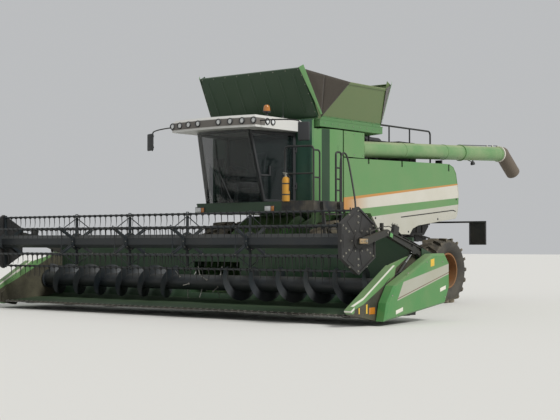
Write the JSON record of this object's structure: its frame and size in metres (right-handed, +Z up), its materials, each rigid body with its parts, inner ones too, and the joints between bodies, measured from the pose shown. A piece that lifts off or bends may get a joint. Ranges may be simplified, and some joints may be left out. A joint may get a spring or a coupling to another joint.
{
  "type": "combine harvester",
  "caption": "Self-propelled combine harvester with a reel header, cab, open grain tank flaps, unloading tube and rear steering.",
  "frame": {"origin": "on the ground under the middle of the whole machine with its header", "axes": "-Y is the driving direction, +X the machine's left side, +Z up"},
  "size_m": [9.9, 12.2929, 4.9107],
  "materials": {
    "green_paint": "satin, dusty",
    "dark_green_paint": "satin",
    "olive_paint": "matt, dusty",
    "black_steel": "satin",
    "blue_grey_steel": "satin",
    "shield_brown": "satin",
    "roof_grey": "satin",
    "spout_brown": "matt",
    "tyre": "dusty rubber",
    "rim_orange": "satin, dusty",
    "bare_steel": "brushed",
    "chrome_rod": "polished",
    "glass": "clear, slightly tinted",
    "canvas": "woven",
    "seat_fabric": "woven",
    "cab_trim": "matt",
    "engine_grey": "oily"
  },
  "bodies": {
    "root": {"axles": "black_steel", "chassis_frame": "black_steel", "thresher_body": "green_paint", "straw_hood": "black_steel", "grain_tank": "dark_green_paint", "tank_canvas": "canvas", "front_skins": "dark_green_paint", "engine_deck": "black_steel", "rails": "black_steel", "engine": "engine_grey", "cooling_box": "black_steel", "cab_floor": "green_paint", "cab_frame": "cab_trim", "cab_glass": "glass", "cab_roof": "roof_grey", "cab_fittings": "cab_trim", "cab_inside": "cab_trim", "seat_cushion": "seat_fabric", "platform": "black_steel", "rear_boards": "black_steel"},
    "front_wheel_left": {"front_tyre_left": "tyre", "front_rim_left": "rim_orange"},
    "front_wheel_right": {"front_tyre_right": "tyre", "front_rim_right": "rim_orange"},
    "knuckle_left": {"rear_knuckle_left": "black_steel"},
    "knuckle_right": {"rear_knuckle_right": "black_steel"},
    "rear_wheel_left": {"rear_tyre_left": "tyre", "rear_rim_left": "rim_orange"},
    "rear_wheel_right": {"rear_tyre_right": "tyre", "rear_rim_right": "rim_orange"},
    "cab_door": {"door_frame": "cab_trim", "door_glass": "glass"},
    "panel_left": {"side_panel_left": "green_paint"},
    "panel_right": {"side_panel_right": "green_paint"},
    "flap_front": {"end_flap_front": "dark_green_paint"},
    "flap_rear": {"end_flap_rear": "dark_green_paint"},
    "flap_left": {"side_flap_left": "olive_paint"},
    "flap_right": {"side_flap_right": "olive_paint"},
    "unloader": {"unloader_elbow": "green_paint", "unloader_tube": "green_paint", "unloader_spout": "spout_brown"},
    "header": {"feeder_house": "green_paint", "header_frame": "dark_green_paint", "knife_bar": "bare_steel", "side_plates": "green_paint", "outer_shields": "green_paint"},
    "auger": {"intake_auger": "blue_grey_steel"},
    "reel_lift": {"reel_arms": "green_paint"},
    "reel": {"reel_core": "blue_grey_steel", "reel_shields": "shield_brown"},
    "header_barrels": {"header_barrels": "black_steel"},
    "header_rods": {"header_rods": "chrome_rod"},
    "reel_barrels": {"reel_barrels": "black_steel"},
    "reel_rods": {"reel_rods": "chrome_rod"},
    "tine_bar_1": {"tine_bar_1": "blue_grey_steel"},
    "tine_bar_2": {"tine_bar_2": "blue_grey_steel"},
    "tine_bar_3": {"tine_bar_3": "blue_grey_steel"},
    "tine_bar_4": {"tine_bar_4": "blue_grey_steel"},
    "tine_bar_5": {"tine_bar_5": "blue_grey_steel"},
    "tine_bar_6": {"tine_bar_6": "blue_grey_steel"}
  },
  "joints": [
    {"name": "front_wheel_left_spin", "type": "hinge", "parent": "root", "child": "front_wheel_left", "pos_m": [1.48, -1.791, 0.92], "axis": [1, 0, 0], "continuous": true},
    {"name": "front_wheel_right_spin", "type": "hinge", "parent": "root", "child": "front_wheel_right", "pos_m": [-1.48, -1.791, 0.92], "axis": [1, 0, 0], "continuous": true},
    {"name": "steer_left", "type": "hinge", "parent": "root", "child": "knuckle_left", "pos_m": [0.96, 2.059, 0.74], "axis": [0, 0, 1], "range_deg": [-28, 28]},
    {"name": "steer_right", "type": "hinge", "parent": "root", "child": "knuckle_right", "pos_m": [-0.96, 2.059, 0.74], "axis": [0, 0, 1], "range_deg": [-28, 28]},
    {"name": "rear_wheel_left_spin", "type": "hinge", "parent": "knuckle_left", "child": "rear_wheel_left", "pos_m": [1.47, 2.059, 0.74], "axis": [1, 0, 0], "continuous": true},
    {"name": "rear_wheel_right_spin", "type": "hinge", "parent": "knuckle_right", "child": "rear_wheel_right", "pos_m": [-1.47, 2.059, 0.74], "axis": [1, 0, 0], "continuous": true},
    {"name": "door_hinge", "type": "hinge", "parent": "root", "child": "cab_door", "pos_m": [0.93873, -2.63375, 2.85], "axis": [0, 0, 1], "range_deg": [0, 80]},
    {"name": "panel_left_hinge", "type": "hinge", "parent": "root", "child": "panel_left", "pos_m": [1.482, 0.339, 3.09], "axis": [0, -1, 0], "range_deg": [0, 55]},
    {"name": "panel_right_hinge", "type": "hinge", "parent": "root", "child": "panel_right", "pos_m": [-1.482, 0.339, 3.09], "axis": [0, 1, 0], "range_deg": [0, 55]},
    {"name": "end_flap_front_hinge", "type": "hinge", "parent": "root", "child": "flap_front", "pos_m": [0, -2.506, 3.888], "axis": [-1, 0, 0], "range_deg": [0, 118.6], "deforming": ["tank_canvas"]},
    {"name": "end_flap_rear_hinge", "type": "hinge", "parent": "root", "child": "flap_rear", "pos_m": [0, -0.276, 3.888], "axis": [1, 0, 0], "range_deg": [0, 118.6], "deforming": ["tank_canvas"]},
    {"name": "side_flap_left_hinge", "type": "hinge", "parent": "root", "child": "flap_left", "pos_m": [1.435, -1.391, 3.93], "axis": [0, -1, 0], "range_deg": [0, 120], "deforming": ["tank_canvas"]},
    {"name": "side_flap_right_hinge", "type": "hinge", "parent": "root", "child": "flap_right", "pos_m": [-1.435, -1.391, 3.93], "axis": [0, 1, 0], "range_deg": [0, 120], "deforming": ["tank_canvas"]},
    {"name": "unloader_swing", "type": "hinge", "parent": "root", "child": "unloader", "pos_m": [1.28, -1.561, 3.33], "axis": [0, 0, -1], "range_deg": [0, 90]},
    {"name": "header_lift", "type": "hinge", "parent": "root", "child": "header", "pos_m": [0, -2.161, 1.65], "axis": [-1, 0, 0], "range_deg": [-1, 15]},
    {"name": "auger_spin", "type": "hinge", "parent": "header", "child": "auger", "pos_m": [0, -4.411, 0.6], "axis": [-1, 0, 0], "continuous": true},
    {"name": "reel_arm_lift", "type": "hinge", "parent": "header", "child": "reel_lift", "pos_m": [0, -3.761, 1.15], "axis": [-1, 0, 0], "range_deg": [-4, 18]},
    {"name": "reel_spin", "type": "hinge", "parent": "reel_lift", "child": "reel", "pos_m": [0, -5.661, 1.4], "axis": [-1, 0, 0], "continuous": true},
    {"name": "tine_bar_1_turn", "type": "hinge", "parent": "reel", "child": "tine_bar_1", "pos_m": [0, -5.661, 1.9], "axis": [-1, 0, 0], "continuous": true},
    {"name": "tine_bar_2_turn", "type": "hinge", "parent": "reel", "child": "tine_bar_2", "pos_m": [0, -5.22799, 1.65], "axis": [-1, 0, 0], "continuous": true},
    {"name": "tine_bar_3_turn", "type": "hinge", "parent": "reel", "child": "tine_bar_3", "pos_m": [0, -5.22799, 1.15], "axis": [-1, 0, 0], "continuous": true},
    {"name": "tine_bar_4_turn", "type": "hinge", "parent": "reel", "child": "tine_bar_4", "pos_m": [0, -5.661, 0.9], "axis": [-1, 0, 0], "continuous": true},
    {"name": "tine_bar_5_turn", "type": "hinge", "parent": "reel", "child": "tine_bar_5", "pos_m": [0, -6.09401, 1.15], "axis": [-1, 0, 0], "continuous": true},
    {"name": "tine_bar_6_turn", "type": "hinge", "parent": "reel", "child": "tine_bar_6", "pos_m": [0, -6.09401, 1.65], "axis": [-1, 0, 0], "continuous": true},
    {"name": "header_barrel_turn", "type": "hinge", "parent": "root", "child": "header_barrels", "pos_m": [0.56, -1.961, 0.9], "axis": [-1, 0, 0], "range_deg": [-0.95, 14.26]},
    {"name": "header_rod_slide", "type": "slide", "parent": "header_barrels", "child": "header_rods", "axis": [0, -0.9588, -0.2841], "range_m": [-0.01345, 0.20168]},
    {"name": "reel_barrel_turn", "type": "hinge", "parent": "header", "child": "reel_barrels", "pos_m": [4.66, -4.761, 0.72], "axis": [1, 0, 0], "range_deg": [-1.08, 4.86]},
    {"name": "reel_rod_slide", "type": "slide", "parent": "reel_barrels", "child": "reel_rods", "axis": [0, 0.7745, 0.6325], "range_m": [-0.0234, 0.10532]}
  ],
  "couplings": [
    {"joint": "steer_right", "follows": "steer_left", "ratio": 1},
    {"joint": "end_flap_rear_hinge", "follows": "end_flap_front_hinge", "ratio": 1},
    {"joint": "side_flap_right_hinge", "follows": "side_flap_left_hinge", "ratio": 1},
    {"joint": "header_barrel_turn", "follows": "header_lift", "ratio": 0.95035},
    {"joint": "header_rod_slide", "follows": "header_lift", "m_per_rad": 0.77038},
    {"joint": "reel_barrel_turn", "follows": "reel_arm_lift", "ratio": 0.27021},
    {"joint": "reel_rod_slide", "follows": "reel_arm_lift", "m_per_rad": 0.33525},
    {"joint": "tine_bar_1_turn", "follows": "reel_spin", "ratio": -1},
    {"joint": "tine_bar_2_turn", "follows": "reel_spin", "ratio": -1},
    {"joint": "tine_bar_3_turn", "follows": "reel_spin", "ratio": -1},
    {"joint": "tine_bar_4_turn", "follows": "reel_spin", "ratio": -1},
    {"joint": "tine_bar_5_turn", "follows": "reel_spin", "ratio": -1},
    {"joint": "tine_bar_6_turn", "follows": "reel_spin", "ratio": -1}
  ]
}
